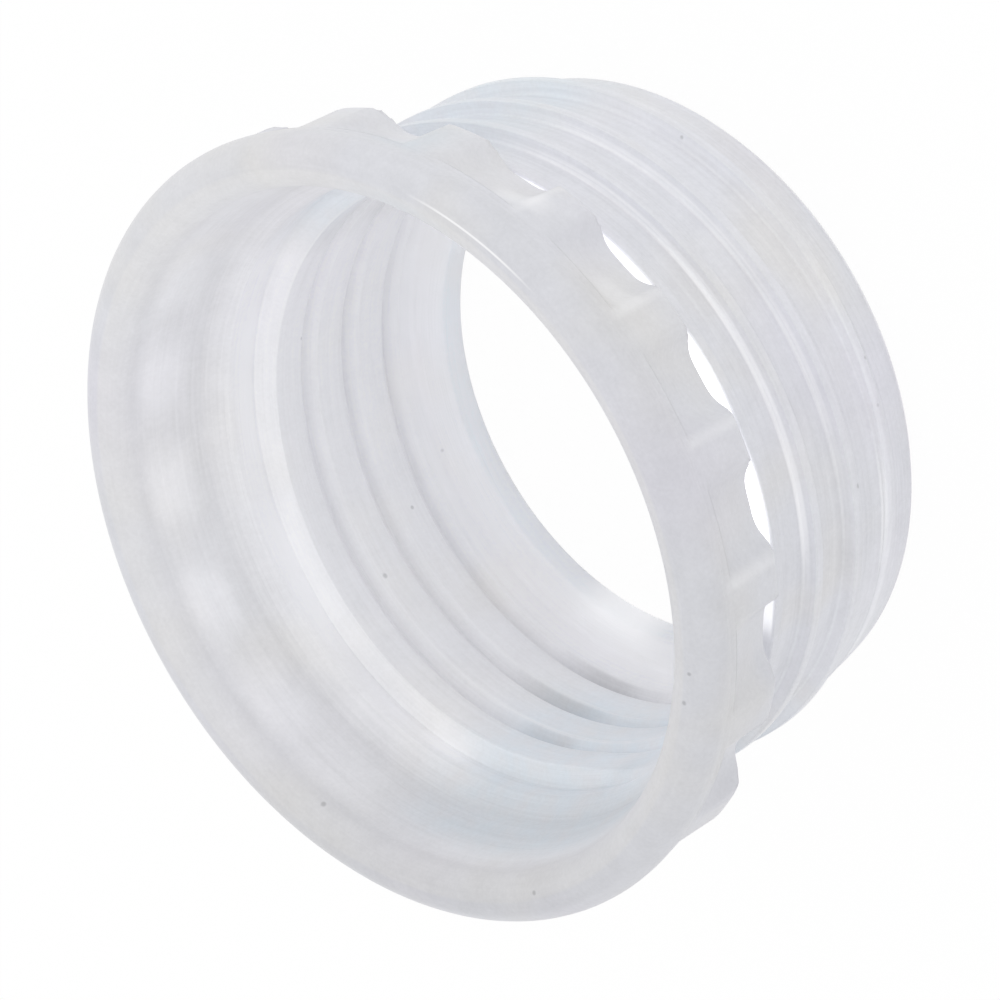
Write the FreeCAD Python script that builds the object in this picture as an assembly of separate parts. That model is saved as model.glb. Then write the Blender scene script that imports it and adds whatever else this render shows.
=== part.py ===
import FreeCAD, Part
import math
import os

# Threaded adapter: one moulded ring. It stands on its threaded end with the wide mouth up.
# The origin is the centre of the foot, Z is the axis of the ring, lengths are in millimetres.

# Whole height and tube, from which the other sizes are stepped in and out
height = 41.5
tube_radius = 33.6
tube_wall = 2.3

# Lip: a round bead that stands out past the collar
lip_overhang = 7.1
lip_bead_radius = 2.7

# Collar with lobes, measured down from the top of the lip and in from its edge
collar_drop = 12.7
collar_corner = 2.2
lobe_count = 18
lobe_inset = 0.4
lobe_draft = 0.2
lobe_clearance = 0.05
lobe_half_angle = 4.3
lobe_phase = -1.6
lobe_join = 0.52
pocket_height = 7.7
pocket_depth_low = 3.7
pocket_depth_high = 0.9
pocket_overcut = 4.0

# Neck between the collar and the threads, measured down from the rear face of the collar
neck_wall = 1.5
neck_length = 4.0
neck_step_height = 0.8
neck_chamfer = 0.5

# Bell mouth inside the collar, measured down from the top of the lip
bell_drop = 13.0
bell_step = 1.6
bell_step_height = 2.5

# Foot: taper and chamfer outside, seat and rim bore inside
foot_taper_height = 6.0
foot_taper = 0.8
foot_chamfer_height = 1.4
foot_chamfer = 1.2
rim_width = 4.65
rim_height = 2.9
seat_rise = 1.7

# Threads: right-handed buttress ridges of one pitch. A run is how far a flank leans along the
# axis, a start height is that of the upper edge of the crest where the ridge begins.
pitch = 6.0
ridge_embed = 0.4
ridge_dip = 0.3
station_angle = 10.0
segment_angle = 120.0

outer_ridge_height = 1.4
outer_crest_width = 1.0
outer_upper_run = 0.2
outer_lower_run = 1.2
outer_start_height = 6.37
outer_start_angle = -140.0
outer_turns = 3.45
outer_fade_angle = 60.0

inner_ridge_height = 1.3
inner_crest_width = 3.6
inner_upper_run = 1.7
inner_lower_run = 0.3
inner_start_height = 5.2
inner_start_angle = 6.0
inner_turns = 3.5
inner_fade_angle = 24.0

# Radii and heights that follow from the sizes above
lip_radius = tube_radius + lip_overhang
lobe_tip_radius = lip_radius - lobe_inset
lobe_base_radius = lobe_tip_radius - lobe_draft
collar_base_z = height - collar_drop
pocket_top_z = collar_base_z + pocket_height
bell_base_z = height - bell_drop
inner_radius = tube_radius - tube_wall
neck_bore_radius = tube_radius - neck_wall
rim_bore_radius = inner_radius - rim_width


def point(radius, z, angle=0.0):
    """Point at a radius, height and angle in degrees about the axis."""
    a = math.radians(angle)
    return FreeCAD.Vector(radius * math.cos(a), radius * math.sin(a), z)


def line(p, q):
    """Straight edge."""
    return Part.LineSegment(p, q).toShape()


def arc(p, mid, q):
    """Circular edge through three points."""
    return Part.Arc(p, mid, q).toShape()


def ring_body():
    """Revolved ring: lip bead, collar, neck, tube, foot, seat and bell mouth."""
    bead_centre = lip_radius - lip_bead_radius
    bead_z = height - lip_bead_radius
    diagonal = math.sqrt(0.5)
    short_diagonal = 1.0 - diagonal

    tip_reach = lobe_tip_radius - bead_centre
    lip_drop = math.sqrt(lip_bead_radius ** 2 - tip_reach ** 2)
    under_lip = point(lobe_tip_radius, bead_z - lip_drop)
    lip_top = point(bead_centre, height)
    lip_side = point(lip_radius, bead_z)
    lip_inner = point(bead_centre - lip_bead_radius, bead_z)
    lip_inner_mid = point(
        bead_centre - lip_bead_radius * diagonal,
        bead_z + lip_bead_radius * diagonal,
    )

    corner_high = point(lobe_base_radius, collar_base_z + collar_corner)
    corner_low = point(lobe_base_radius - collar_corner, collar_base_z)
    corner_mid = point(
        lobe_base_radius - collar_corner * short_diagonal,
        collar_base_z + collar_corner * short_diagonal,
    )
    neck_high = point(tube_radius + neck_chamfer, collar_base_z)
    neck_low = point(tube_radius, collar_base_z - neck_chamfer)

    taper_radius = tube_radius - foot_taper
    neck_base_z = collar_base_z - neck_length
    chain = [
        point(tube_radius, foot_taper_height),
        point(taper_radius, foot_chamfer_height),
        point(taper_radius - foot_chamfer, 0.0),
        point(rim_bore_radius, 0.0),
        point(rim_bore_radius, rim_height),
        point(inner_radius, rim_height + seat_rise),
        point(inner_radius, neck_base_z - neck_step_height),
        point(neck_bore_radius, neck_base_z),
        point(neck_bore_radius, bell_base_z),
        point(neck_bore_radius + bell_step, bell_base_z + bell_step_height),
        lip_inner,
    ]
    edges = [
        arc(lip_top, lip_side, under_lip),
        line(under_lip, corner_high),
        arc(corner_high, corner_mid, corner_low),
        line(corner_low, neck_high),
        line(neck_high, neck_low),
        line(neck_low, chain[0]),
    ]
    for p, q in zip(chain[:-1], chain[1:]):
        edges.append(line(p, q))
    edges.append(arc(lip_inner, lip_inner_mid, lip_top))
    face = Part.Face(Part.Wire(edges))
    ring = face.revolve(FreeCAD.Vector(0, 0, 0), FreeCAD.Vector(0, 0, 1), 360.0)
    if ring.Volume < 0.0:
        ring.reverse()
    return ring


def lobed_outline(z):
    """Wave of lobes and valleys at a height: the valleys shallow out towards the lip."""
    climb = (z - collar_base_z) / pocket_height
    depth = pocket_depth_low + (pocket_depth_high - pocket_depth_low) * climb
    tip_radius = lobe_base_radius + lobe_draft * climb + lobe_clearance
    valley_radius = tip_radius - depth
    join_radius = valley_radius + depth * lobe_join
    step = 360.0 / lobe_count
    edges = []
    for k in range(lobe_count):
        tip = lobe_phase + k * step
        start = point(join_radius, z, tip - lobe_half_angle)
        crest = point(tip_radius, z, tip)
        end = point(join_radius, z, tip + lobe_half_angle)
        floor = point(valley_radius, z, tip + step / 2.0)
        following = point(join_radius, z, tip + step - lobe_half_angle)
        edges.append(arc(start, crest, end))
        edges.append(arc(end, floor, following))
    return Part.Wire(edges)


def pocket_cutter():
    """Ring outside the lobed outline: it takes the pockets between the lobes away."""
    low_z = collar_base_z - pocket_overcut
    lobed = Part.makeLoft([lobed_outline(low_z), lobed_outline(pocket_top_z)], True, True)
    disc = Part.makeCylinder(lip_radius + pocket_overcut, pocket_top_z - low_z, point(0.0, low_z))
    return disc.cut(lobed)


def ridge_stops(start_angle, total):
    """Runs along a ridge, in degrees, at which it is divided into segments."""
    stops = [0.0]
    whole = math.floor(start_angle / segment_angle) + 1
    run = whole * segment_angle - start_angle
    while run < total:
        stops.append(run)
        run += segment_angle
    stops.append(total)
    return stops


def ridge_segment(profile, start, end):
    """Solid of the ridge between two runs, closed by a flat radial face at each end."""
    count = max(2, int(round((end - start) / station_angle)))
    runs = [start + (end - start) * k / count for k in range(count + 1)]
    sections = [profile(run) for run in runs]
    rails = []
    for corner in range(4):
        curve = Part.BSplineCurve()
        curve.interpolate([section[corner] for section in sections])
        rails.append(curve.toShape())
    faces = []
    for k in range(4):
        faces.append(Part.makeRuledSurface(rails[k], rails[(k + 1) % 4]))
    for section in (sections[0], sections[-1]):
        faces.append(Part.Face(Part.makePolygon(section + [section[0]])))
    shell = Part.makeShell(faces)
    shell.sewShape()
    segment = Part.makeSolid(shell)
    if segment.Volume < 0.0:
        segment.reverse()
    return segment


def add_ridge(
    body,
    root,
    ridge_height,
    crest_width,
    upper_run,
    lower_run,
    start_height,
    start_angle,
    turns,
    fade_angle,
):
    """Fuse a right-handed thread ridge, which fades into the wall at both of its ends.

    A positive ridge height stands out of the wall at the root radius, a negative one stands in.
    """
    way = math.copysign(1.0, ridge_height)
    total = 360.0 * turns
    stretch = 1.0 + ridge_embed / abs(ridge_height)

    def profile(run):
        """Four corners of the ridge section at a run along the helix."""
        rise = min(1.0, run / fade_angle, (total - run) / fade_angle)
        base = root - way * ridge_embed
        top = root + ridge_height * rise - way * ridge_dip * (1.0 - rise)
        upper = start_height + pitch * run / 360.0
        lower = upper - crest_width
        angle = start_angle + run
        return [
            point(base, lower - lower_run * stretch, angle),
            point(top, lower, angle),
            point(top, upper, angle),
            point(base, upper + upper_run * stretch, angle),
        ]

    stops = ridge_stops(start_angle, total)
    for start, end in zip(stops[:-1], stops[1:]):
        body = body.fuse(ridge_segment(profile, start, end))
    return body


def adapter():
    """The whole adapter as one solid. The inner ridge stands on the wider bore of the neck."""
    body = add_ridge(
        ring_body(),
        tube_radius,
        outer_ridge_height,
        outer_crest_width,
        outer_upper_run,
        outer_lower_run,
        outer_start_height,
        outer_start_angle,
        outer_turns,
        outer_fade_angle,
    )
    body = add_ridge(
        body,
        neck_bore_radius,
        inner_radius - inner_ridge_height - neck_bore_radius,
        inner_crest_width,
        inner_upper_run,
        inner_lower_run,
        inner_start_height,
        inner_start_angle,
        inner_turns,
        inner_fade_angle,
    )
    return body.cut(pocket_cutter())


os.makedirs("parts", exist_ok=True)
adapter().Solids[0].exportStep("parts/adapter_body.step")
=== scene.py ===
import logging
import math
from dataclasses import dataclass, replace
from enum import Enum
from typing import Callable, Optional, Union

import bmesh
import bpy
import numpy as np
from mathutils import Matrix, Vector


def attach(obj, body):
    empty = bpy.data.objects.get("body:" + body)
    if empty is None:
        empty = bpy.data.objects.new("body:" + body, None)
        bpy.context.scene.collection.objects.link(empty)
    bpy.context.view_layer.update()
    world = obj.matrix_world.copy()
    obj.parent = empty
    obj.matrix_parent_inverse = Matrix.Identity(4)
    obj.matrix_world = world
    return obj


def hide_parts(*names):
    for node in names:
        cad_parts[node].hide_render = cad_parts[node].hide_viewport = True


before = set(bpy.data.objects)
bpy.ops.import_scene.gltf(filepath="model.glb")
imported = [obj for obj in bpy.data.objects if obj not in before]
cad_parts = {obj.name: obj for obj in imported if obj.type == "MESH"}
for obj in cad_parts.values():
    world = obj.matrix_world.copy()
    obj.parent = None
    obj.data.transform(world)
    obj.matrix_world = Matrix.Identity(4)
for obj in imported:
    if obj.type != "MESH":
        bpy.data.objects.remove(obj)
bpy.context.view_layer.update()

log = logging.getLogger("threaded_adapter")

Socket = bpy.types.NodeSocket
Value = Union[Socket, float]
Given = Optional[dict[Union[str, int], object]]
Sockets = dict[str, Socket]
Triple = tuple[float, float, float]
Pair = tuple[float, float]

MM = 0.001
RADIANS = math.pi / 180.0
TURN = 360.0
TINY = 1e-7
WELD = 0.002 * MM
WHITE = (1.0, 1.0, 1.0)
BLACK = (0.0, 0.0, 0.0)


class Thread(Enum):
    """Which thread a line of the section belongs to."""

    NONE = ""
    OUTER = "Outer"
    INNER = "Inner"


@dataclass(frozen=True)
class Corner:
    """Corner of an outline, rounded to a radius when it is more than nothing.

    Lengths are in millimetres: x is a radius or a height along the thread, y the other way.
    """

    x: float
    y: float
    rounding: float = 0.0
    steps: int = 3


@dataclass(frozen=True)
class SectionLine:
    """One line that runs round the ring: a point of the section and how it moves as it turns."""

    radius: float
    height: float
    lobed: bool = False
    thread: Thread = Thread.NONE
    lift: float = 0.0
    # tone is painted light and shade: the line's brightness, raised inside where light would come
    # through the walls
    tone: float = 1.0
    inside: float = 0.0
    streaked: float = 1.0


def direction(azimuth: float, elevation: float) -> Vector:
    """Unit vector at an azimuth and an elevation in degrees."""
    around, up = math.radians(azimuth), math.radians(elevation)
    return Vector((math.cos(up) * math.cos(around), math.cos(up) * math.sin(around), math.sin(up)))


def placed(name: str, data: bpy.types.ID) -> bpy.types.Object:
    """New object in the scene.

    Args:
        name: Its name.
        data: Its mesh, camera or lamp.

    Returns:
        The object, linked to the scene.
    """
    made = bpy.data.objects.new(name, data)
    bpy.context.scene.collection.objects.link(made)
    return made


def worded(source: object, keys: str, unit: float = 1.0, start: str = "") -> dict[str, float]:
    """Fields of an object under their names in words.

    Args:
        source: The object.
        keys: Names of the fields.
        unit: What the values are multiplied by.
        start: What each name starts with.

    Returns:
        Values by name.
    """
    names = {key: start + key.replace("_", " ").title() for key in keys.split()}
    return {name: getattr(source, key) * unit for key, name in names.items()}


def rounded(corners: list[Corner]) -> list[Pair]:
    """Open outline with its inner corners rounded.

    Args:
        corners: The corners in order, with the rounding of each.

    Returns:
        Points of the outline, arcs divided into short steps.
    """
    points: list[Pair] = []
    for k, corner in enumerate(corners):
        if k in (0, len(corners) - 1) or corner.rounding <= 0.0:
            points.append((corner.x, corner.y))
            continue
        here = Vector((corner.x, corner.y))
        before = Vector((corners[k - 1].x, corners[k - 1].y)) - here
        after = Vector((corners[k + 1].x, corners[k + 1].y)) - here
        half = before.angle(after) / 2.0
        reach = corner.rounding / math.tan(half)
        centre = here + (before.normalized() + after.normalized()).normalized() * (
            corner.rounding / math.sin(half)
        )
        first = here + before.normalized() * reach - centre
        last = here + after.normalized() * reach - centre
        sweep = first.angle_signed(last)
        for step in range(corner.steps + 1):
            turned = first.copy()
            turned.rotate(Matrix.Rotation(-sweep * step / corner.steps, 2))
            points.append(tuple(centre + turned))
    return points


@dataclass(frozen=True)
class ThreadSize:
    """Sizes of one buttress thread, in millimetres and turns.

    The upper edge of the crest stands at edge_height on the side where the turning starts, and
    run_there turns of the ridge lie behind it.
    """

    pitch: float
    crest_radius: float
    depth: float
    crest_width: float
    upper_run: float
    lower_run: float
    edge_height: float
    run_there: float
    turns: float
    fade: float
    low: float
    high: float
    edge_rounding: float
    root_rounding: float

    def outline(self) -> list[Pair]:
        """One pitch of the ridge.

        Returns:
            Heights from the crest's upper edge, falling, and lifts from 0 at the wall to 1.
        """
        root_width = self.pitch - self.crest_width - self.upper_run - self.lower_run
        top = self.upper_run + root_width / 2.0
        shape = rounded(
            [
                Corner(top, 0.0),
                Corner(self.upper_run, 0.0, self.root_rounding),
                Corner(0.0, self.depth, self.edge_rounding),
                Corner(-self.crest_width, self.depth, self.edge_rounding),
                Corner(-self.crest_width - self.lower_run, 0.0, self.root_rounding),
                Corner(top - self.pitch, 0.0),
            ]
        )
        return [(x, y / self.depth) for x, y in shape[:-1]]

    def lines(self, which: Thread) -> list[SectionLine]:
        """Lines of the threaded stretch from its high end to its low end.

        Args:
            which: The thread that the lines belong to.

        Returns:
            Lines that climb one pitch a turn; those beyond the ends are held at the ends.
        """
        made: list[SectionLine] = []
        turn = math.ceil((self.high - self.edge_height) / self.pitch) + 1
        while self.edge_height + turn * self.pitch > self.low - 2.0 * self.pitch:
            for along, lift in self.outline():
                height = self.edge_height + turn * self.pitch + along
                if self.low - self.pitch < height < self.high:
                    made.append(SectionLine(self.crest_radius, height, False, which, lift))
            turn -= 1
        return made


@dataclass(frozen=True)
class Band:
    """Stretch of a value with soft ends: its centre, half its width and the width of an end."""

    centre: float
    half: float
    soft: float


class Tree:
    """Short hand for building a node tree."""

    def __init__(self, tree: bpy.types.NodeTree) -> None:
        """Keep the tree that the nodes go into."""
        self.tree = tree

    @classmethod
    def new_group(
        cls, name: str, kind: str, inputs: dict[str, str], outputs: dict[str, str]
    ) -> "Tree":
        """Start a node group.

        Args:
            name: Name of the group.
            kind: Blender's name of the tree's type.
            inputs: Types of its inputs by name, without the word NodeSocket.
            outputs: Types of its outputs in the same form.

        Returns:
            The group, still without nodes.
        """
        group = bpy.data.node_groups.new(name, kind)
        for way, sockets in (("INPUT", inputs), ("OUTPUT", outputs)):
            for key, word in sockets.items():
                group.interface.new_socket(key, in_out=way, socket_type="NodeSocket" + word)
        return cls(group)

    def node(self, kind: str, given: Given = None, **settings: object) -> bpy.types.Node:
        """Add a node.

        Args:
            kind: Blender's name of the node type.
            given: Sockets or plain values of its inputs, by name or number.
            settings: Properties of the node.

        Returns:
            The new node.
        """
        made = self.tree.nodes.new(kind)
        for name, value in settings.items():
            setattr(made, name, value)
        for key, value in (given or {}).items():
            self.link(value, made.inputs[key])
        return made

    def link(self, source: object, target: Socket) -> None:
        """Join a socket, or set a plain value.

        Args:
            source: Socket or plain value.
            target: Input that takes it.
        """
        if isinstance(source, Socket):
            self.tree.links.new(source, target)
        else:
            target.default_value = source

    def starts(self) -> Sockets:
        """The group's inputs by name."""
        return {made.name: made for made in self.node("NodeGroupInput").outputs if made.name}

    def math(self, operation: str, *values: Value) -> Socket:
        """Result of a math node."""
        return self.node("ShaderNodeMath", dict(enumerate(values)), operation=operation).outputs[0]

    def add(self, first: Value, second: Value) -> Socket:
        """Sum of two values."""
        return self.math("ADD", first, second)

    def sub(self, first: Value, second: Value) -> Socket:
        """First value less the second."""
        return self.math("SUBTRACT", first, second)

    def div(self, first: Value, second: Value) -> Socket:
        """First value over the second."""
        return self.math("DIVIDE", first, second)

    def scaled(self, value: Value, factor: Value, start: Value) -> Socket:
        """Value times a factor, plus a start."""
        return self.math("MULTIPLY_ADD", value, factor, start)

    def joined(self, operation: str, *values: Value) -> Value:
        """Join any number of values by one operation.

        Args:
            operation: Name of the operation.
            values: Sockets or numbers.

        Returns:
            The last result.
        """
        made = values[0]
        for value in values[1:]:
            made = self.math(operation, made, value)
        return made

    def mul(self, *values: Value) -> Value:
        """Product of any number of values."""
        return self.joined("MULTIPLY", *values)

    def most(self, *values: Value) -> Value:
        """Largest of any number of values."""
        return self.joined("MAXIMUM", *values)

    def total(self, start: Value, *parts: tuple[Value, float]) -> Value:
        """Sum of a start and shares of other values.

        Args:
            start: Value to start from.
            parts: Each value with its share.

        Returns:
            The sum.
        """
        for value, share in parts:
            start = self.scaled(value, share, start)
        return start

    def clamp(self, value: Value, low: Value = 0.0, high: Value = 1.0) -> Socket:
        """Hold a value between two others."""
        return self.math("MAXIMUM", self.math("MINIMUM", value, high), low)

    def mix(self, low: Value, high: Value, share: Value) -> Socket:
        """Value between two others by a share from 0 to 1."""
        return self.scaled(self.sub(high, low), share, low)

    def ramp(self, value: Value, ends: Pair, results: Pair, shape: str = "LINEAR") -> Socket:
        """Result that goes from one to another as a value does.

        Args:
            value: The value.
            ends: Where the way starts and ends.
            results: Results at the two ends.
            shape: Blender's name of the way's shape.

        Returns:
            The result's socket.
        """
        keys = ("Value", "From Min", "From Max", "To Min", "To Max")
        given = dict(zip(keys, (value, *ends, *results)))
        return self.node("ShaderNodeMapRange", given, interpolation_type=shape).outputs[0]

    def band(self, value: Value, size: Band, period: float = 0.0) -> Socket:
        """Soft band: 1 within a half width of a centre, falling to 0 beyond it.

        Args:
            value: The value.
            size: The band.
            period: What the value repeats by, or nothing.

        Returns:
            Socket of the mask.
        """
        off = self.sub(value, size.centre)
        if period:
            off = self.math("WRAP", off, period / 2.0, -period / 2.0)
        ends = (size.half - size.soft / 2.0, size.half + size.soft / 2.0)
        return self.ramp(self.math("ABSOLUTE", off), ends, (1.0, 0.0), "SMOOTHSTEP")

    def blend(self, low: object, high: object, share: Value) -> Socket:
        """Colour between two others.

        Args:
            low: Colour, or its socket, at 0.
            high: Colour, or its socket, at 1.
            share: Number or socket from 0 to 1.

        Returns:
            The colour's socket.
        """
        made = self.node("ShaderNodeMix", data_type="RGBA")
        for key, value in (("A_Color", low), ("B_Color", high), ("Factor_Float", share)):
            socket = next(s for s in made.inputs if s.identifier == key)
            self.link((*value, 1.0) if isinstance(value, tuple) else value, socket)
        return next(s for s in made.outputs if s.identifier == "Result_Color")

    def dimmed(self, colour: Socket, factor: Value) -> Socket:
        """Colour times a number."""
        given = {0: colour, "Scale": factor}
        return self.node("ShaderNodeVectorMath", given, operation="SCALE").outputs[0]

    def split(self, vector: Socket) -> tuple[Socket, Socket, Socket]:
        """The three numbers of a vector."""
        return tuple(self.node("ShaderNodeSeparateXYZ", {0: vector}).outputs)

    def polar(self, radius: Value, angle: Value, height: Value) -> Socket:
        """Vector from a radius, an angle in radians and a height."""
        x, y = (self.mul(radius, self.math(word, angle)) for word in ("COSINE", "SINE"))
        return self.node("ShaderNodeCombineXYZ", {"X": x, "Y": y, "Z": height}).outputs[0]


@dataclass(frozen=True)
class Patch:
    """Soft-edged patch of the ring.

    A stretch of azimuth in degrees, and of radius and height in millimetres.
    """

    azimuth: float
    half_azimuth: float
    height: float
    half_height: float
    soft_azimuth: float
    soft_height: float
    radius: float
    half_radius: float
    strength: float
    soft_radius: float = 0.4

    def share(self, radius: np.ndarray, azimuth: np.ndarray, height: np.ndarray) -> np.ndarray:
        """How much of the patch there is at places.

        Args:
            radius: Radii in millimetres.
            azimuth: Azimuths in degrees.
            height: Heights in millimetres.

        Returns:
            Shares from 0 to the patch's strength.
        """
        turned = (azimuth - self.azimuth + TURN / 2.0) % TURN - TURN / 2.0
        made = np.full(radius.shape, self.strength)
        for off, half, soft in (
            (turned, self.half_azimuth, self.soft_azimuth),
            (height - self.height, self.half_height, self.soft_height),
            (radius - self.radius, self.half_radius, self.soft_radius),
        ):
            step = np.clip((half - np.abs(off)) / soft + 0.5, 0.0, 1.0)
            made *= step * step * (3.0 - 2.0 * step)
        return made


@dataclass(frozen=True)
class Speck:
    """Small dark speck in the plastic: its place as radius, azimuth and height, and its size."""

    radius: float
    azimuth: float
    height: float
    size: float = 0.3

    def place(self) -> Vector:
        """Place in metres."""
        return (direction(self.azimuth, 0.0) * self.radius + Vector((0.0, 0.0, self.height))) * MM


@dataclass(frozen=True)
class Unevenness:
    """Noise in the plastic: waves a metre, detail and roughness."""

    waves: float
    detail: float
    roughness: float = 0.5

    def build(self, t: Tree, where: Socket) -> Value:
        """Make the noise.

        Args:
            t: Tree that it goes into.
            where: Vector of the place.

        Returns:
            Noise that lies about 0.
        """
        given = {"Vector": where, "Scale": self.waves, "Detail": self.detail}
        given["Roughness"] = self.roughness
        return t.mul(t.sub(t.node("ShaderNodeTexNoise", given).outputs["Fac"], 0.5), 2.0)


@dataclass(frozen=True)
class PlasticFinish:
    """Milky, slightly see-through moulded plastic.

    Lengths are in millimetres and azimuths in degrees. A gain is what an effect adds to the
    brightness, a shine what it adds to the plastic's emission, a painted glow. A share is a
    slope and a base. Bands along a thread are heights at azimuth 0, and climb with it. Much of
    the colour is painted light and shade: bluish and dark patches of painted shade, painted
    highlights along the threads and the lip, painted light patches, a side painted lighter, and a
    painted glow where light would come through thin walls.
    """

    name: str = "milky_plastic_moulded"
    refraction: float = 1.45
    colour: Triple = (0.728, 0.735, 0.775)
    warm: Triple = (0.742, 0.736, 0.738)
    lavender: Triple = (0.722, 0.718, 0.775)
    # The blue below colours painted bluish shade; the pale light colour colours painted highlights
    # and painted glow
    shade_blue: Triple = (0.64, 0.70, 0.752)
    light: Triple = (0.95, 0.95, 0.965)
    roughness: float = 0.38
    blotch_roughness: float = 0.07
    streak_roughness: float = 0.05

    clouds: Unevenness = Unevenness(90.0, 1.0)
    drift: Unevenness = Unevenness(55.0, 0.0)
    blotches: Unevenness = Unevenness(330.0, 2.0, 0.6)
    grain: Unevenness = Unevenness(2400.0, 1.0, 0.6)
    warm_share: Pair = (1.6, 0.15)
    lavender_share: Pair = (-1.4, 0.05)
    blue_share: Pair = (0.8, 0.75)
    glint_share: Pair = (1.2, 0.75)
    inside_warmth: float = 0.5

    blotch_gain: float = 0.06
    grain_gain: float = 0.05
    streak_gain: float = 0.08
    # Painted light and shade: the pockets, the lighter side, fill light in the grooves and shadow
    # in them
    pocket_light_and_shade_gain: float = 0.13
    lit_side_gain: float = 0.055
    lit_side_turn: float = -0.1
    groove_fill_light_gain: float = 0.02
    shadow_gain: float = -0.3
    # Painted glow (emission) of the thread, the light patches and the neck
    thread_highlight_shine: float = 0.06
    flank_shine: float = 0.06
    patch_shine: float = 0.2
    neck_shine: float = 0.7

    streak_noise: Unevenness = Unevenness(1.0, 2.0, 0.62)
    streak_lean: float = 1.3
    streak_fineness: float = 1.9
    streak_length: float = 1.6
    streak_seam: float = -165.0
    seam_sharpness: float = 40.0
    bump_strength: float = 0.35
    bump_height: float = 0.06

    pitch: float = 6.0
    wall_radius: float = 33.6
    flank_lean: float = 0.863
    # Bands of painted highlights, painted glow and painted shadow along the threads, and a painted
    # highlight on the lip
    thread_highlight: Band = Band(8.75, 0.5, 0.35)
    flank_glow: Band = Band(8.3, 0.75, 0.5)
    groove_top_highlight: Band = Band(5.12, 0.12, 0.12)
    groove_foot_highlight: Band = Band(1.5, 0.1, 0.12)
    groove_glint: float = 0.4
    groove_shadow: Band = Band(5.8, 0.6, 0.4)
    bore_top: float = 24.6
    neck_start: float = 25.7
    neck_soft: float = 0.2
    lip_highlight_radius: Band = Band(38.6, 0.1, 0.14)
    lip_highlight_azimuth: Band = Band(-58.0, 9.0, 10.0)
    lip_highlight_height: float = 40.5

    # Each patch: azimuth and half its width, height and half its width, the soft edges of both,
    # radius and half its width, strength
    # Painted bluish shade
    blue_shade_patches: tuple[Patch, ...] = (
        Patch(162.0, 26.0, 23.5, 13.0, 20.0, 5.0, 32.5, 4.0, 0.75),
        Patch(2.0, 12.0, 24.0, 3.0, 16.0, 4.0, 31.5, 1.6, 0.5),
        Patch(-44.0, 8.0, 39.5, 2.5, 16.0, 3.0, 36.0, 1.6, 0.4),
        Patch(-20.0, 16.0, 13.0, 11.0, 16.0, 6.0, 34.5, 2.0, 0.6),
        Patch(-38.0, 4.0, 34.0, 3.5, 6.0, 3.0, 39.0, 3.0, 0.6),
        Patch(0.0, 200.0, 1.6, 1.3, 1.0, 0.6, 26.8, 0.5, 0.45),
    )
    # Painted shade in the inner thread's grooves
    dark_shade_patches: tuple[Patch, ...] = (
        Patch(140.0, 8.0, 8.1, 2.0, 14.0, 1.0, 31.0, 1.4, 0.9),
        Patch(138.5, 9.0, 14.1, 2.0, 14.0, 1.0, 31.0, 1.4, 0.8),
        Patch(145.0, 6.0, 20.1, 2.0, 6.0, 1.0, 31.0, 1.4, 0.5),
    )
    # Painted light: inside the neck, on the seat and rim bore, and on the sides of the lobes that
    # face the lamp
    painted_light_patches: tuple[Patch, ...] = (
        Patch(88.0, 14.0, 26.4, 1.4, 14.0, 0.8, 31.9, 0.6, 0.25),
        Patch(131.0, 4.0, 26.5, 1.2, 6.0, 0.8, 31.9, 0.6, 0.3),
        Patch(50.0, 16.0, 26.4, 1.4, 14.0, 0.8, 31.9, 0.6, 0.12),
        Patch(133.0, 9.0, 1.6, 1.8, 12.0, 0.6, 26.9, 0.5, 0.8),
        Patch(-57.0, 4.0, 34.0, 1.2, 4.0, 1.0, 39.0, 2.0, 0.4),
        Patch(-76.0, 3.0, 34.0, 1.5, 4.0, 1.0, 39.0, 2.0, 0.25),
        Patch(140.0, 22.0, 3.8, 1.0, 30.0, 1.0, 28.8, 1.8, 0.3),
    ) + tuple(
        Patch(lobe + 2.8, 0.7, 33.2, 3.8, 1.2, 1.5, 39.4, 2.2, 0.24)
        for lobe in (-121.6, -101.6, -81.6, -61.6)
    )
    # Where the painted highlight stripe along the outer thread shows
    thread_highlight_patches: tuple[Patch, ...] = (
        Patch(-86.0, 45.0, 19.5, 3.0, 24.0, 2.0, 34.4, 1.2, 0.62),
        Patch(-78.0, 42.0, 13.5, 3.0, 30.0, 2.0, 34.4, 1.2, 0.48),
        Patch(-128.0, 9.0, 7.5, 3.0, 12.0, 2.0, 34.4, 1.2, 0.35),
    )
    # Painted glow of the thin neck, seen between the collar's lobes
    neck_glow_patches: tuple[Patch, ...] = tuple(
        Patch(azimuth, half, 27.5, 3.2, soft, 0.4, 34.8, 1.6, strength)
        for azimuth, half, soft, strength in (
            (-51.0, 4.5, 4.0, 0.55),
            (-70.5, 8.0, 5.0, 0.55),
            (-92.0, 7.0, 5.0, 1.0),
            (-113.0, 8.5, 5.0, 1.0),
            (-132.0, 5.5, 5.0, 0.35),
        )
    )
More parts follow.
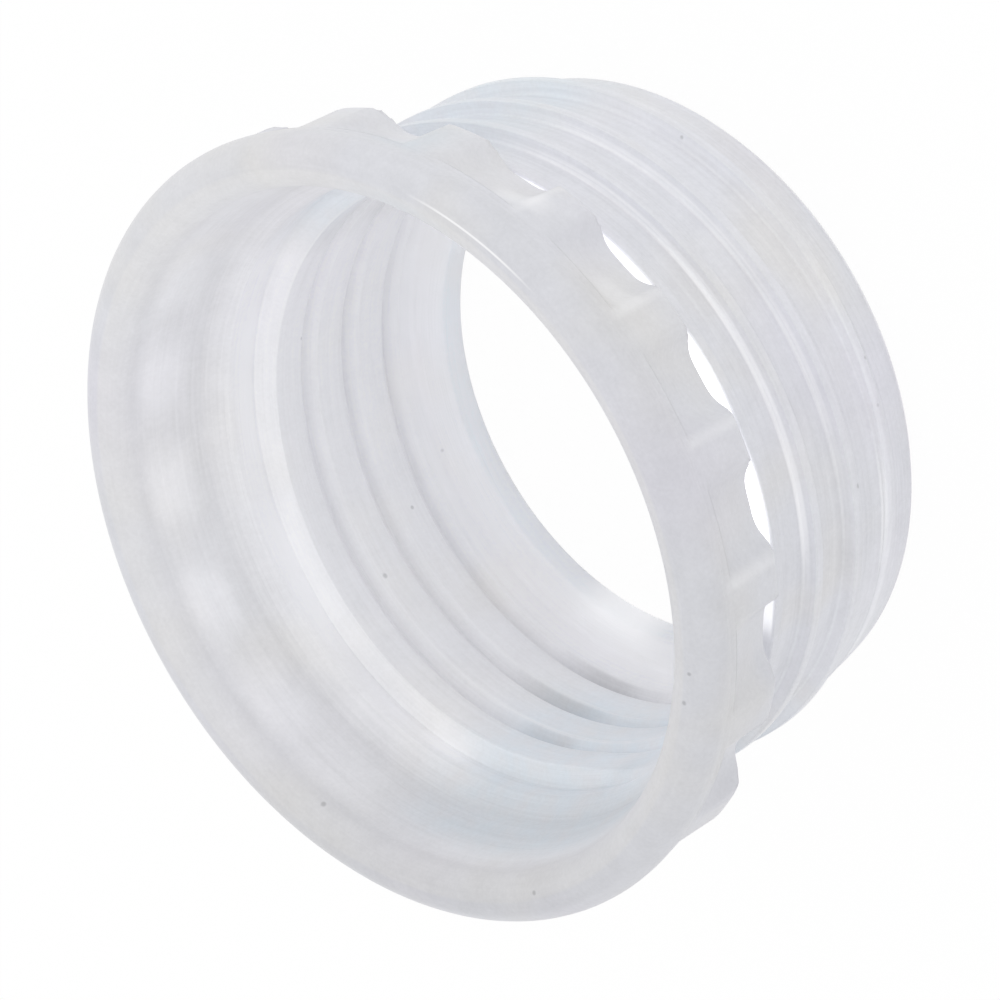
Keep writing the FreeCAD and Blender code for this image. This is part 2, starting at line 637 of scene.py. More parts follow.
    # Painted light in the bell behind the pockets, and painted shade where the strength is below 0
    pocket_light_and_shade_patches: tuple[Patch, ...] = tuple(
        Patch(4.4 + 20.0 * k, 5.5, 35.6, 2.3, 9.0, 2.4, 34.8, 1.4, strength)
        for k, strength in ((1, 0.5), (2, 1.0), (3, 1.1), (4, 1.1), (5, 0.8), (6, 0.4))
    ) + (
        Patch(158.0, 18.0, 27.0, 2.5, 12.0, 2.0, 32.5, 1.6, -0.85),
        Patch(164.0, 20.0, 32.0, 3.5, 16.0, 3.0, 34.0, 1.6, -0.45),
        Patch(133.0, 10.0, 35.0, 4.0, 14.0, 3.0, 34.6, 1.4, -0.5),
        Patch(4.0, 16.0, 20.0, 10.0, 14.0, 4.0, 31.2, 1.5, -0.8),
        Patch(150.0, 34.0, 40.5, 2.0, 30.0, 2.0, 37.0, 2.4, -0.45),
        Patch(-158.0, 22.0, 14.5, 14.0, 20.0, 4.0, 34.5, 3.0, 0.25),
    )
    speck_tone: float = 0.72
    speck_core: float = 0.4
    speck_edge: float = 0.9
    specks: tuple[Speck, ...] = (
        Speck(35.5, 124.0, 39.9, 0.4),
        Speck(37.2, 171.0, 41.4, 0.35),
        Speck(30.0, 96.0, 18.4, 0.4),
        Speck(30.0, 44.0, 20.3),
        Speck(29.9, 80.0, 4.1, 0.35),
        Speck(30.0, 87.0, 10.8),
        Speck(35.0, -120.0, 11.7, 0.4),
        Speck(34.1, -110.0, 6.2, 0.35),
        Speck(34.5, -55.0, 7.8),
        Speck(38.5, -130.0, 41.4),
        Speck(38.1, -135.0, 41.5, 0.35),
        Speck(34.4, -102.0, 6.0),
    )

    @staticmethod
    def place_group() -> bpy.types.NodeTree:
        """Group that tells the place on the ring.

        Returns:
            The group, which gives radius and height in millimetres and azimuth in degrees.
        """
        outputs = dict.fromkeys(("Radius", "Azimuth", "Height"), "Float")
        t = Tree.new_group("place_on_ring", "ShaderNodeTree", {}, outputs)
        x, y, z = t.split(t.node("ShaderNodeTexCoord").outputs["Object"])
        square = t.add(t.mul(x, x), t.mul(y, y))
        place = {
            "Radius": t.mul(t.math("SQRT", square), 1.0 / MM),
            "Azimuth": t.mul(t.math("ARCTAN2", y, x), 1.0 / RADIANS),
            "Height": t.mul(z, 1.0 / MM),
        }
        t.node("NodeGroupOutput", place)
        return t.tree

    def streak_group(self) -> bpy.types.NodeTree:
        """Group of fine lines that run round the ring and climb with the thread.

        Returns:
            The group. Its lines fade out at a seam azimuth, where the climb starts again.
        """
        keys = ("Azimuth", "Along", "Pitch", "Fineness", "Length", "Seam")
        inputs, outputs = dict.fromkeys(keys, "Float"), {"Streaks": "Float"}
        t = Tree.new_group("moulded_streaks", "ShaderNodeTree", inputs, outputs)
        given = t.starts()
        share = t.math("FRACT", t.div(t.sub(given["Azimuth"], given["Seam"]), TURN))
        across = t.sub(given["Along"], t.mul(share, given["Pitch"]))
        angle = t.mul(given["Azimuth"], RADIANS)
        where = t.polar(given["Length"], angle, t.mul(across, given["Fineness"]))
        lines = self.streak_noise.build(t, where)
        from_seam = t.sub(0.5, t.math("ABSOLUTE", t.sub(share, 0.5)))
        fade = t.clamp(t.mul(from_seam, self.seam_sharpness))
        t.node("NodeGroupOutput", {"Streaks": t.mul(lines, fade)})
        return t.tree

    def stain(self, mesh: bpy.types.Mesh) -> None:
        """Keep the soft patches of painted shade, painted light, painted highlights and painted
        glow as numbers on the mesh's points.

        Args:
            mesh: The ring's mesh.
        """
        flat = np.empty(3 * len(mesh.vertices))
        mesh.vertices.foreach_get("co", flat)
        x, y, z = flat.reshape(-1, 3).T
        places = (np.hypot(x, y) / MM, np.degrees(np.arctan2(y, x)), z / MM)
        # Painted shade and light: bluish shade, dark shade and light patches; then the painted
        # highlight stripe, the neck's painted glow and the pockets' painted light and shade
        for key, kinds in (
            ("stains", (self.blue_shade_patches, self.dark_shade_patches, self.painted_light_patches)),
            ("lights", (self.thread_highlight_patches, self.neck_glow_patches, self.pocket_light_and_shade_patches)),
        ):
            shares = [sum(patch.share(*places) for patch in patches) for patches in kinds]
            made = mesh.attributes.new(key, "FLOAT_VECTOR", "POINT")
            made.data.foreach_set("vector", np.stack(shares, axis=1).ravel())

    def specked(self, t: Tree, where: Socket, gain: Value) -> Value:
        """Darken the specks.

        Args:
            t: The material's tree.
            where: Vector of the place.
            gain: Brightness without specks.

        Returns:
            Brightness with them.
        """
        for speck in self.specks:
            given = {0: where, 1: speck.place()}
            far = t.node("ShaderNodeVectorMath", given, operation="DISTANCE").outputs["Value"]
            size = speck.size * MM
            ends = (self.speck_core * size, self.speck_edge * size)
            gain = t.mul(gain, t.ramp(far, ends, (self.speck_tone, 1.0)))
        return gain

    def build(self) -> bpy.types.Material:
        """Make the material.

        Returns:
            The material, on Object coordinates and the ring's own attributes.
        """
        material = bpy.data.materials.new(self.name)
        material.use_nodes = True
        material.cycles.emission_sampling = "NONE"
        t = Tree(material.node_tree)
        place = t.node("ShaderNodeGroup", node_tree=self.place_group())
        radius, azimuth, height = place.outputs
        where = t.node("ShaderNodeTexCoord").outputs["Object"]

        def kept(key: str) -> tuple[Socket, Socket, Socket]:
            """Three numbers kept on the ring's points under a name."""
            return t.split(t.node("ShaderNodeAttribute", attribute_name=key).outputs["Vector"])

        tone, inside, streaked = kept("wall")
        hollow, threaded = kept("thread")[:2]
        # Painted shade and light patches, then the painted highlight stripe, neck glow and the
        # pockets' light and shade
        blue_shade, dark_shade, patch_light = kept("stains")
        thread_highlight_reach, neck_glow_reach, pocket_light_and_shade = kept("lights")
        clouds, drift, blotches, grain = (
            noise.build(t, where) for noise in (self.clouds, self.drift, self.blotches, self.grain)
        )
        given = {
            "Azimuth": azimuth,
            "Along": t.scaled(radius, self.streak_lean, height),
            "Pitch": self.pitch,
            "Fineness": self.streak_fineness,
            "Length": self.streak_length,
            "Seam": self.streak_seam,
        }
        lines = t.node("ShaderNodeGroup", given, node_tree=self.streak_group())
        streaks = t.mul(lines.outputs[0], streaked)

        # Colour: warm and lavender clouds, and bluish patches of painted shade
        paint = t.blend(self.colour, self.warm, t.clamp(t.scaled(clouds, *self.warm_share)))
        paint = t.blend(paint, self.lavender, t.clamp(t.scaled(drift, *self.lavender_share)))
        paint = t.blend(paint, self.warm, t.mul(inside, self.inside_warmth))
        uneven = t.clamp(t.scaled(blotches, *self.blue_share))
        paint = t.blend(paint, self.shade_blue, t.mul(blue_shade, uneven))

        # Brightness: unevenness, painted light and shade at the pockets, a side painted lighter as
        # if lit, painted fill light and painted shadow in the inner thread's grooves, specks
        climbing = t.scaled(azimuth, -self.pitch / TURN, height)
        bored = t.mul(inside, t.clamp(t.sub(self.bore_top, height)))
        lit_side = t.math("COSINE", t.scaled(azimuth, RADIANS, self.lit_side_turn))
        # Painted shadow in the grooves where the dark shade patches lie
        shadow = t.mul(dark_shade, t.band(climbing, self.groove_shadow, self.pitch))
        gain = t.total(
            tone,
            (blotches, self.blotch_gain),
            (grain, self.grain_gain),
            (streaks, self.streak_gain),
            (pocket_light_and_shade, self.pocket_light_and_shade_gain),
            (lit_side, self.lit_side_gain),
            (t.mul(hollow, bored), self.groove_fill_light_gain),
            (shadow, self.shadow_gain),
        )
        paint = t.dimmed(paint, self.specked(t, where, gain))

        # Painted highlights: a stripe along the outer thread's crest, the edges of the inner
        # grooves, painted light patches, a line on the lip
        broken = t.clamp(t.scaled(streaks, *self.glint_share))
        lowered = t.scaled(t.sub(radius, self.wall_radius), -self.flank_lean, climbing)
        thread_highlight = t.mul(t.band(lowered, self.thread_highlight, self.pitch), thread_highlight_reach, broken)
        # Painted highlights along the edges of the inner thread's grooves
        edges = [t.band(climbing, edge, self.pitch) for edge in (self.groove_top_highlight, self.groove_foot_highlight)]
        groove_highlights = t.mul(t.most(*edges), bored, broken, self.groove_glint)
        # Painted highlight: a thin line on the lip
        lip_highlight = t.mul(
            t.band(radius, self.lip_highlight_radius),
            t.band(azimuth, self.lip_highlight_azimuth),
            t.math("GREATER_THAN", height, self.lip_highlight_height),
        )
        paint = t.blend(paint, self.light, t.most(thread_highlight, groove_highlights, patch_light, lip_highlight))

        # Painted glow on the thin neck behind the collar, standing in for light through it, least
        # where the gap starts
        above = t.clamp(t.div(t.sub(lowered, self.neck_start), self.neck_soft))
        neck = t.mul(neck_glow_reach, above)
        paint = t.blend(paint, self.light, neck)
        # Painted glow: emission on the outer thread's flank, the highlight stripe, the inside light
        # patches and the neck
        painted_glow = t.total(
            0.0,
            (t.mul(t.band(lowered, self.flank_glow, self.pitch), threaded), self.flank_shine),
            (thread_highlight, self.thread_highlight_shine),
            (t.mul(patch_light, inside), self.patch_shine),
            (neck, self.neck_shine),
        )
        bump = {"Strength": self.bump_strength, "Distance": self.bump_height * MM}
        bump["Height"] = streaks
        rough = ((blotches, self.blotch_roughness), (streaks, self.streak_roughness))
        for key, value in {
            "Base Color": paint,
            "Emission Color": t.blend(BLACK, WHITE, painted_glow),
            "Emission Strength": 1.0,
            "IOR": self.refraction,
            "Roughness": t.total(self.roughness, *rough),
            "Normal": t.node("ShaderNodeBump", bump).outputs[0],
        }.items():
            t.link(value, material.node_tree.nodes["Principled BSDF"].inputs[key])
        return material


@dataclass
class AdapterBody:
    """The one moulded ring: lip, lobed collar, neck, foot and both threads.

    Lengths are in millimetres. The section is turned about Z by a tree of geometry nodes. The
    tones are painted light and shade: pairs of a height and a brightness, painted higher inside to
    stand in for light that comes through the walls, and darker towards the lip outside.
    """

    name: str = "adapter_ring"
    steps_around: int = 432
    height: float = 41.5
    tube_radius: float = 33.6
    inner_radius: float = 31.3
    lip_radius: float = 40.7
    bead_radius: float = 2.7
    bead_steps: int = 12
    under_lip_heights: tuple[float, ...] = (36.85, 36.65)
    lobe_tip_radius: float = 40.3
    lobe_base_radius: float = 40.1
    lobe_heights: tuple[float, ...] = (36.5, 36.35, 36.2, 35.9, 35.0, 34.0, 33.0, 32.0, 31.3)
    collar_base: float = 28.8
    collar_corner: float = 2.2
    collar_corner_steps: int = 6
    collar_base_radii: tuple[float, ...] = (37.4, 36.8, 36.4)
    pocket_top: float = 36.5
    pocket_depth_low: float = 3.15
    pocket_depth_high: float = 0.9
    lobe_count: float = 18.0
    lobe_phase: float = -1.6
    lobe_half_angle: float = 3.0
    lobe_blend: float = 0.15
    scoop_power: float = 3.7
    neck_start_radius: float = 36.0
    neck_rounding: float = 0.5
    neck_bore_radius: float = 32.1
    neck_base: float = 24.8
    neck_step: float = 0.8
    bell_base: float = 28.5
    bell_foot_rise: float = 0.05
    bell_foot_step: float = 0.02
    bell_step: float = 1.6
    bell_step_height: float = 2.5
    bell_rounding: float = 1.2
    bell_steps: int = 7
    bell_end_drop: float = 0.4
    taper_height: float = 6.0
    taper: float = 0.8
    taper_rise: float = 0.4
    taper_drop: float = 0.3
    chamfer_height: float = 1.4
    chamfer: float = 1.2
    foot_roundings: tuple[float, ...] = (0.8, 0.5, 0.35, 0.45)
    rim_bore_radius: float = 26.65
    rim_height: float = 2.9
    seat_radius: float = 29.6
    seat_rise: float = 1.0778
    bore_margin: float = 0.1
    bell_margin: float = 0.2
    lobe_streaks: float = 0.25
    lip_streaks: float = 0.45
    # Painted light and shade by height: the outer walls darker towards the lip, the inner walls
    # painted lighter where light would come through
    outer_painted_light: tuple[Pair, ...] = (
        (0.0, 1.05), (6.0, 1.03), (26.0, 0.985), (29.0, 0.96), (36.0, 0.94),
        (38.0, 0.91), (41.5, 0.93),
    )
    inner_painted_light: tuple[Pair, ...] = (
        (4.6, 1.37), (6.0, 1.3), (24.0, 1.26), (24.8, 1.31), (28.4, 1.31),
        (29.0, 1.08), (32.0, 1.1), (38.0, 1.14), (41.0, 1.0), (41.5, 0.96),
    )
    outer: ThreadSize = ThreadSize(
        pitch=6.0,
        crest_radius=35.0,
        depth=1.4,
        crest_width=1.0,
        upper_run=0.2,
        lower_run=1.2,
        edge_height=6.37 + 6.0 * 140.0 / TURN,
        run_there=140.0 / TURN,
        turns=3.45,
        fade=60.0 / TURN,
        low=3.6,
        high=28.0,
        edge_rounding=0.16,
        root_rounding=0.3,
    )
    inner: ThreadSize = ThreadSize(
        pitch=6.0,
        crest_radius=30.0,
        depth=1.3,
        crest_width=3.6,
        upper_run=1.05,
        lower_run=0.19,
        edge_height=5.2 - 6.0 * 6.0 / TURN,
        run_there=-6.0 / TURN,
        turns=3.5,
        fade=24.0 / TURN,
        low=4.6,
        high=28.5,
        edge_rounding=0.2,
        root_rounding=0.2,
    )

    def bead(self, first: float, last: float) -> list[SectionLine]:
        """Lines of the lip's bead.

        Args:
            first: Angle from the horizontal where they start, in radians.
            last: Angle where they end.

        Returns:
            The lines, both ends with them.
        """
        x, y = self.lip_radius - self.bead_radius, self.height - self.bead_radius
        made: list[SectionLine] = []
        for k in range(self.bead_steps + 1):
            turn = first + (last - first) * k / self.bead_steps
            across, up = self.bead_radius * math.cos(turn), self.bead_radius * math.sin(turn)
            made.append(SectionLine(x + across, y + up))
        return made

    def outside(self) -> list[SectionLine]:
        """Lines from the top of the lip down to the outer thread.

        Returns:
            The lines, without tone.
        """
        reach = self.lobe_tip_radius - self.lip_radius + self.bead_radius
        made = self.bead(math.pi / 2.0, -math.acos(reach / self.bead_radius))
        made += [SectionLine(self.lobe_tip_radius, height) for height in self.under_lip_heights]
        made += [SectionLine(self.tip_radius(height), height, True) for height in self.lobe_heights]
        low = self.collar_base + self.collar_corner
        for k in range(self.collar_corner_steps + 1):
            turn = math.pi / 2.0 * k / self.collar_corner_steps
            lost = self.collar_corner * (1.0 - math.cos(turn))
            height = low - self.collar_corner * math.sin(turn)
            made.append(SectionLine(self.lobe_base_radius - lost, height, True))
        made += [SectionLine(radius, self.collar_base, True) for radius in self.collar_base_radii]
        neck = rounded(
            [
                Corner(self.neck_start_radius, self.collar_base),
                Corner(self.tube_radius, self.collar_base, self.neck_rounding, steps=4),
                Corner(self.tube_radius, self.outer.high),
            ]
        )
        return made + [SectionLine(x, y) for x, y in neck[:-1]]

    def foot(self) -> list[SectionLine]:
        """Lines from the outer thread round the foot and the rim to the seat.

        Returns:
            The lines, without tone.
        """
        taper_radius = self.tube_radius - self.taper
        taper_end, foot_edge, rim_foot, rim_top = self.foot_roundings
        shape = rounded(
            [
                Corner(taper_radius + self.taper_rise, self.outer.low - self.taper_drop),
                Corner(taper_radius, self.chamfer_height, taper_end),
                Corner(taper_radius - self.chamfer, 0.0, foot_edge),
                Corner(self.rim_bore_radius, 0.0, rim_foot),
                Corner(self.rim_bore_radius, self.rim_height, rim_top),
                Corner(self.seat_radius, self.rim_height + self.seat_rise),
            ]
        )
        return [SectionLine(x, y) for x, y in shape]

    def inside(self) -> list[SectionLine]:
        """Lines from the inner thread up the bell mouth to the top of the lip.

        Returns:
            The lines, without tone.
        """
        mouth_radius = self.lip_radius - 2.0 * self.bead_radius
        bell_radius = self.neck_bore_radius + self.bell_step
        bell_foot = self.bell_base + self.bell_foot_rise
        bell_top = self.bell_base + self.bell_step_height
        shape = rounded(
            [
                Corner(self.neck_bore_radius, self.inner.high),
                Corner(self.neck_bore_radius + self.bell_foot_step, bell_foot),
                Corner(bell_radius, bell_top, self.bell_rounding, steps=4),
                Corner(mouth_radius, self.height - self.bead_radius - self.bell_end_drop),
            ]
        )
        made = [SectionLine(x, y) for x, y in shape[:-1]]
        (low_x, low_y), (high_x, high_y) = shape[-2:]
        for k in range(1, self.bell_steps + 1):
            share = k / self.bell_steps
            place = (low_x + (high_x - low_x) * share, low_y + (high_y - low_y) * share)
            made.append(SectionLine(*place))
        return made + self.bead(math.pi, math.pi / 2.0)[:-1]

    def tip_radius(self, height: float) -> float:
        """Radius of the lobes' tips at a height."""
        climb = (height - self.collar_base) / (self.pocket_top - self.collar_base)
        return self.lobe_base_radius + (self.lobe_tip_radius - self.lobe_base_radius) * climb

    def section(self) -> list[SectionLine]:
        """The whole section.

        Returns:
            The lines with their tones, from the top of the lip round and back to it.
        """
        lines = self.outside()
        lines += self.outer.lines(Thread.OUTER)
        lines += self.foot()
        lines += reversed(self.inner.lines(Thread.INNER))
        lines += self.inside()
        return [self.toned(line) for line in lines + lines[:1]]

    def toned(self, line: SectionLine) -> SectionLine:
        """Give a line its tone and its side.

        Args:
            line: Line of the section.

        Returns:
            The line with its painted brightness (painted light and shade), whether it lies inside
            and how streaked it is.
        """
        within = line.radius < self.neck_bore_radius + self.bore_margin
        bell_edge = self.lip_radius - self.bead_radius - self.bell_margin
        within |= line.height > self.bell_base and line.radius < bell_edge
        within &= not line.lobed and line.thread is not Thread.OUTER
        heights, tones = zip(*(self.inner_painted_light if within else self.outer_painted_light))
        streaked = 1.0
        if line.lobed:
            streaked = self.lobe_streaks
        elif line.height > self.pocket_top:
            streaked = self.lip_streaks
        tone = float(np.interp(line.height, heights, tones))
        return replace(line, tone=tone, inside=float(within), streaked=streaked)

    def section_mesh(self) -> bpy.types.Mesh:
        """Mesh of loose points that holds the section for the tree.

        Returns:
            The mesh, with the lines' numbers as attributes.
        """
        lines = self.section()
        mesh = bpy.data.meshes.new(self.name + "_section")
        mesh.from_pydata([(s.radius * MM, 0.0, s.height * MM) for s in lines], [], [])
        for key, values in (
            ("lobed", [float(s.lobed) for s in lines]),
            ("outer", [float(s.thread is Thread.OUTER) for s in lines]),
            ("inner", [float(s.thread is Thread.INNER) for s in lines]),
            ("lift", [s.lift for s in lines]),
            ("tone", [s.tone for s in lines]),
            ("inside", [s.inside for s in lines]),
            ("streaked", [s.streaked for s in lines]),
        ):
            mesh.attributes.new(key, "FLOAT", "POINT").data.foreach_set("value", values)
        return mesh

    def inputs(self) -> dict[str, float]:
        """Sizes that the tree takes.

        Returns:
            Values by the name of the tree's input: lengths in metres, angles in turns.
        """
        made = worded(self, "lobe_tip_radius lobe_base_radius collar_base pocket_top", MM)
        made |= worded(self, "pocket_depth_low pocket_depth_high lobe_blend tube_radius", MM)
        made |= worded(self, "taper taper_height chamfer_height inner_radius", MM)
        made |= worded(self, "neck_bore_radius neck_base neck_step", MM)
        made |= worded(self, "lobe_count scoop_power")
        made["Lobe Phase"] = self.lobe_phase / TURN
        made["Lobe Half Width"] = self.lobe_half_angle * self.lobe_count / TURN
        for which, size in ((Thread.OUTER, self.outer), (Thread.INNER, self.inner)):
            sizes = "pitch crest_radius crest_width upper_run lower_run edge_height low high"
            made |= worded(size, sizes, MM, which.value + " ")
            made |= worded(size, "run_there turns fade", 1.0, which.value + " ")
        return made

    def lobe_limit(self, t: Tree, given: Sockets, turn: Value, height: Value) -> Socket:
        """Radius of the wave of lobes and valleys.

        Args:
            t: The tree.
            given: Sockets of the tree's inputs.
            turn: Share of a turn about the axis.
            height: Height on the collar.

        Returns:
            The radius there.
        """
        span = t.sub(given["Pocket Top"], given["Collar Base"])
        climb = t.div(t.sub(height, given["Collar Base"]), span)
        tip = t.mix(given["Lobe Base Radius"], given["Lobe Tip Radius"], climb)
        depth = t.mix(given["Pocket Depth Low"], given["Pocket Depth High"], climb)
        place = t.mul(t.sub(turn, given["Lobe Phase"]), given["Lobe Count"])
        off = t.math("ABSOLUTE", t.sub(t.math("FRACT", t.add(place, 0.5)), 0.5))
        reach = t.sub(0.5, given["Lobe Half Width"])
        from_floor = t.clamp(t.div(t.sub(0.5, off), reach))
        share = t.sub(1.0, t.math("POWER", from_floor, given["Scoop Power"]))
        return t.scaled(t.mul(depth, -1.0), share, tip)

    def ridge(
        self,
        t: Tree,
        given: Sockets,
        which: Thread,
        turn: Value,
        start: Value,
        lift: Value,
        wall: Callable[[Value], Socket],
    ) -> tuple[Socket, Socket, Socket]:
        """Radius and height of a thread's line at a turn.

        Args:
            t: The tree.
            given: Sockets of the tree's inputs.
            which: The thread.
            turn: Share of a turn about the axis.
            start: Height of the line where the turning starts.
            lift: Lift of the line when it is free of the thread's ends.
            wall: Function that gives the wall's radius at a height.

        Returns:
            The radius, the height and how far the ridge stands up there, from 0 to 1.
        """
        own = {key.removeprefix(which.value + " "): value for key, value in given.items()}
        pitch, upper, lower = own["Pitch"], own["Upper Run"], own["Lower Run"]
        free = t.scaled(pitch, turn, start)
        height = t.clamp(free, own["Low"], own["High"])
        above = t.sub(height, t.scaled(pitch, turn, own["Edge Height"]))
        index = t.math("CEIL", t.div(t.sub(above, upper), pitch))
        local = t.sub(above, t.mul(index, pitch))
        falling = t.clamp(t.div(t.sub(upper, local), upper))
        rising = t.clamp(t.div(t.add(local, t.add(own["Crest Width"], lower)), lower))
        held = t.math("MINIMUM", falling, rising)
        is_held = t.math("GREATER_THAN", t.math("ABSOLUTE", t.sub(free, height)), TINY)
        run = t.add(t.add(index, turn), own["Run There"])
        left = t.sub(own["Turns"], run)
        rise = t.clamp(t.div(t.math("MINIMUM", run, left), own["Fade"]))
        full = t.mul(t.mix(lift, held, is_held), rise)
        return t.mix(wall(height), own["Crest Radius"], full), height, full

    def tree(self) -> bpy.types.NodeTree:
        """Build the geometry nodes that turn the section into the ring.

        Returns:
            The tree, whose inputs are the sizes of the lobes and the threads.
        """
        inputs = {"Section": "Geometry", "Steps Around": "Int", "Finish": "Material"}
        inputs |= dict.fromkeys(self.inputs(), "Float")
        t = Tree.new_group("turned_threaded_ring", "GeometryNodeTree", inputs, {"Ring": "Geometry"})
        given = t.starts()
        section, steps = given["Section"], given["Steps Around"]
        count = t.node("GeometryNodeAttributeDomainSize", {"Geometry": section})
        points = count.outputs["Point Count"]
        sides = {"Vertices X": t.add(steps, 1.0), "Vertices Y": points}
        grid = t.node("GeometryNodeMeshGrid", sides)
        index = t.node("GeometryNodeInputIndex").outputs[0]
        column = t.math("FLOOR", t.div(t.add(index, 0.5), points))
        row = t.math("ROUND", t.sub(index, t.mul(column, points)))
        turn = t.div(column, steps)

        def sampled(value: Socket, kind: str) -> Socket:
            """Value of a field on the section's point for this row."""
            taken = {"Geometry": section, "Value": value, "Index": row}
            return t.node("GeometryNodeSampleIndex", taken, data_type=kind).outputs[0]

        def named(key: str) -> Socket:
            """Number kept on the section's points under a name."""
            made = t.node("GeometryNodeInputNamedAttribute", {"Name": key}, data_type="FLOAT")
            return sampled(made.outputs["Attribute"], "FLOAT")

        taper_span = t.sub(given["Taper Height"], given["Chamfer Height"])

        def outer_wall(at: Value) -> Socket:
            """Radius of the tube and its tapered foot at a height."""
            share = t.clamp(t.div(t.sub(given["Taper Height"], at), taper_span))
            return t.sub(given["Tube Radius"], t.mul(share, given["Taper"]))

        def inner_wall(at: Value) -> Socket:
            """Radius of the bore, which steps out at the neck, at a height."""
            share = t.clamp(t.add(t.div(t.sub(at, given["Neck Base"]), given["Neck Step"]), 1.0))
            return t.mix(given["Inner Radius"], given["Neck Bore Radius"], share)

        place = t.node("GeometryNodeInputPosition").outputs[0]
        radius, _, height = t.split(sampled(place, "FLOAT_VECTOR"))
        limit = self.lobe_limit(t, given, turn, height)
        cut = t.math("SMOOTH_MIN", radius, limit, given["Lobe Blend"])
        start, lift = height, named("lift")
        radius = t.mix(radius, cut, named("lobed"))
        is_outer, is_inner = named("outer"), named("inner")
        for which, wall, mark in (
            (Thread.OUTER, outer_wall, is_outer),
            (Thread.INNER, inner_wall, is_inner),
        ):
            ridge_radius, ridge_height, up = self.ridge(t, given, which, turn, start, lift, wall)
            radius = t.mix(radius, ridge_radius, mark)
            height = t.mix(height, ridge_height, mark)
        hollow = t.mul(t.sub(1.0, up), is_inner)

        mesh = grid.outputs["Mesh"]
        # wall keeps each line's tone, which is painted light and shade
        for key, values in (
            ("wall", (named("tone"), named("inside"), named("streaked"))),
            ("thread", (hollow, is_outer)),
        ):
            packed = t.node("ShaderNodeCombineXYZ", dict(enumerate(values))).outputs[0]
            mesh = t.node(
                "GeometryNodeStoreNamedAttribute",
                {"Geometry": mesh, "Name": key, "Value": packed},
                data_type="FLOAT_VECTOR",
                domain="POINT",
            ).outputs[0]
        for kind, values in (
            ("SetPosition", {"Position": t.polar(radius, t.mul(turn, 2.0 * math.pi), height)}),
            ("MergeByDistance", {"Distance": WELD}),
            ("SetShadeSmooth", {}),
            ("RealizeInstances", {}),
            ("SetMaterial", {"Material": given["Finish"]}),
        ):
            mesh = t.node("GeometryNode" + kind, {0: mesh, **values}).outputs[0]
        t.node("NodeGroupOutput", {"Ring": mesh})
        return t.tree

    def build(self, finish: PlasticFinish) -> bpy.types.Object:
        """Turn the section into the ring as a plain mesh.

        Args:
            finish: The plastic.

        Returns:
            The finished object at the origin.
        """
        holder = placed(self.name + "_section", self.section_mesh())
        modifier = holder.modifiers.new("turned", "NODES")
        modifier.node_group = self.tree()
        plastic = finish.build()
        values = {"Steps Around": self.steps_around, "Finish": plastic, **self.inputs()}
        for socket in modifier.node_group.interface.items_tree:
            if socket.name in values and socket.in_out == "INPUT":
                modifier[socket.identifier] = values[socket.name]
        holder.update_tag()
        bpy.context.view_layer.update()
        graph = bpy.context.evaluated_depsgraph_get()
        mesh = bpy.data.meshes.new_from_object(holder.evaluated_get(graph))
        mesh.name = self.name
        bpy.data.objects.remove(holder)
        if not mesh.materials:
            mesh.materials.append(plastic)
        self.face_outwards(mesh)
        finish.stain(mesh)
        return placed(self.name, mesh)

    @staticmethod
    def face_outwards(mesh: bpy.types.Mesh) -> None:
        """Turn the faces round if the closed mesh is inside out, and drop those without area.

        Args:
            mesh: The ring's mesh.
        """
        work = bmesh.new()
        work.from_mesh(mesh)
        bmesh.ops.dissolve_degenerate(work, dist=WELD, edges=work.edges)
        loose = [v for v in work.verts if not v.link_faces]
        bmesh.ops.delete(work, geom=loose, context="VERTS")
        open_edges = sum(1 for e in work.edges if len(e.link_faces) != 2)
        if work.calc_volume(signed=True) < 0.0:
            bmesh.ops.reverse_faces(work, faces=work.faces)
        log.info("ring volume %.0f mm3, open edges %d", work.calc_volume() / MM**3, open_edges)
        work.to_mesh(mesh)
        work.free()
        for polygon in mesh.polygons:
            polygon.use_smooth = True
        mesh.calc_loop_triangles()
        log.info("ring triangles %d", len(mesh.loop_triangles))


@dataclass(frozen=True)
class Viewpoint:
    """Camera of the picture: where it looks from, in degrees and millimetres."""

    azimuth: float = -90.0
    elevation: float = 40.76
    roll: float = 119.1
    place: Triple = (-2.1, -561.3, 509.7)
    lens: float = 274.9
    sensor: float = 36.0
    near: float = 0.01
    far: float = 50.0

    def build(self) -> bpy.types.Object:
        """Make the camera and set it as the scene's.

        Returns:
            The camera.
        """
        back = direction(self.azimuth, self.elevation)
        level = direction(self.azimuth + TURN / 4.0, 0.0)
        roll = math.radians(self.roll)
        up = back.cross(level) * math.cos(roll) + level * math.sin(roll)
        data = bpy.data.cameras.new("picture_camera")
        data.lens = self.lens
        data.sensor_width = self.sensor
        data.clip_start = self.near
        data.clip_end = self.far
        camera = placed("picture_camera", data)
        turned = Matrix((up.cross(back), up, back)).transposed().to_4x4()
        camera.matrix_world = Matrix.Translation(Vector(self.place) * MM) @ turned
        bpy.context.scene.camera = camera
        return camera


@dataclass(frozen=True)
class Softbox:
    """Square area lamp that looks at the middle of the ring, in degrees, metres and watts."""

    name: str
    azimuth: float
    elevation: float
    distance: float
    size: float
    power: float
    target_height: float = 0.02

    def build(self) -> bpy.types.Object:
        """Make the lamp.

        Returns:
            The lamp.
        """
        out = direction(self.azimuth, self.elevation)
        data = bpy.data.lights.new(self.name, "AREA")
        data.shape = "SQUARE"
        data.size = self.size
        data.energy = self.power
        lamp = placed(self.name, data)
        place = out * self.distance + Vector((0.0, 0.0, self.target_height))
        turned = out.to_track_quat("Z", "Y").to_matrix().to_4x4()
        lamp.matrix_world = Matrix.Translation(place) @ turned
        return lamp


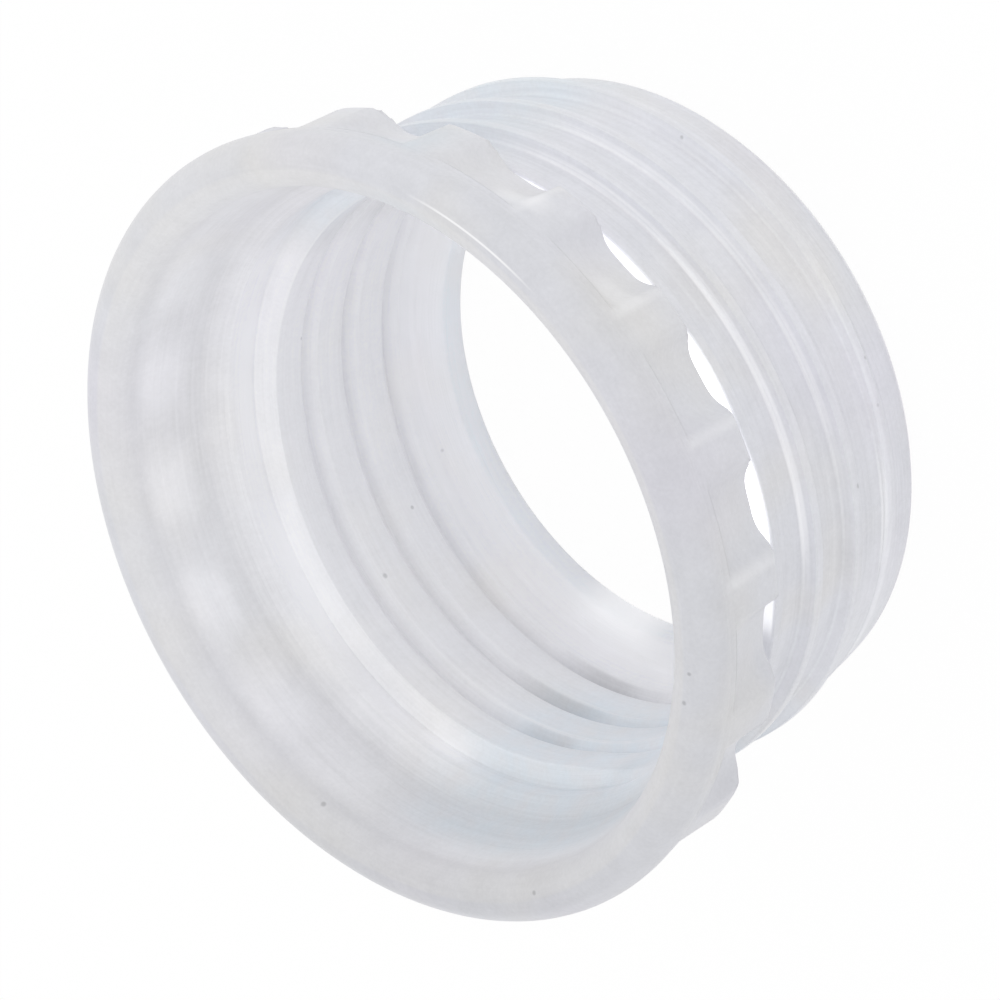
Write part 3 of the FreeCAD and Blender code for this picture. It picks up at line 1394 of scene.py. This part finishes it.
@dataclass
class Studio:
    """White floor, white surroundings and a soft lamp."""

    surroundings: float = 0.96
    floor_half: float = 4.0
    floor_glow: float = 0.965
    key: Softbox = Softbox(
        "key_softbox", azimuth=-40.0, elevation=25.0, distance=1.0, size=0.7, power=0.3
    )

    def world(self) -> None:
        """White surroundings that the camera sees as plain white."""
        world = bpy.data.worlds.new("white_surroundings")
        world.use_nodes = True
        bpy.context.scene.world = world
        t = Tree(world.node_tree)
        path = t.node("ShaderNodeLightPath").outputs
        seen = t.most(path["Is Camera Ray"], path["Is Transmission Ray"])
        shine = world.node_tree.nodes["Background"].inputs
        t.link(t.mix(self.surroundings, 1.0, seen), shine["Strength"])
        t.link((*WHITE, 1.0), shine["Color"])

    def floor(self) -> bpy.types.Object:
        """Flat white floor that keeps a faint shadow.

        Returns:
            The floor.
        """
        half = self.floor_half
        mesh = bpy.data.meshes.new("studio_floor")
        corners = [(-half, -half, 0.0), (half, -half, 0.0), (half, half, 0.0), (-half, half, 0.0)]
        mesh.from_pydata(corners, [], [(0, 1, 2, 3)])
        floor = placed("studio_floor", mesh)
        material = bpy.data.materials.new("white_floor")
        material.use_nodes = True
        material.node_tree.nodes.clear()
        t = Tree(material.node_tree)
        paper = t.node("ShaderNodeBsdfDiffuse", {"Color": (*WHITE, 1.0)}).outputs[0]
        glow = t.node("ShaderNodeEmission", {"Strength": 1.0}).outputs[0]
        path = t.node("ShaderNodeLightPath").outputs
        rays = ("Is Camera Ray", "Is Glossy Ray", "Is Transmission Ray")
        seen = t.most(*(path[ray] for ray in rays))
        given = {0: t.mul(seen, self.floor_glow), 1: paper, 2: glow}
        mixed = t.node("ShaderNodeMixShader", given)
        t.node("ShaderNodeOutputMaterial", {"Surface": mixed.outputs[0]})
        mesh.materials.append(material)
        return floor

    def build(self) -> None:
        """Make the floor, the surroundings and the lamp."""
        self.world()
        self.floor()
        self.key.build()
        bpy.context.scene.view_settings.view_transform = "Standard"


def main() -> None:
    """Build the studio, the camera and the adapter."""
    logging.basicConfig(level=logging.INFO, format="%(name)s: %(message)s")
    Studio().build()
    Viewpoint().build()
    ring = AdapterBody().build(PlasticFinish())
    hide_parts("adapter_body")
    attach(ring, "root")
    log.info("adapter ring done")


if __name__ == "__main__":
    main()
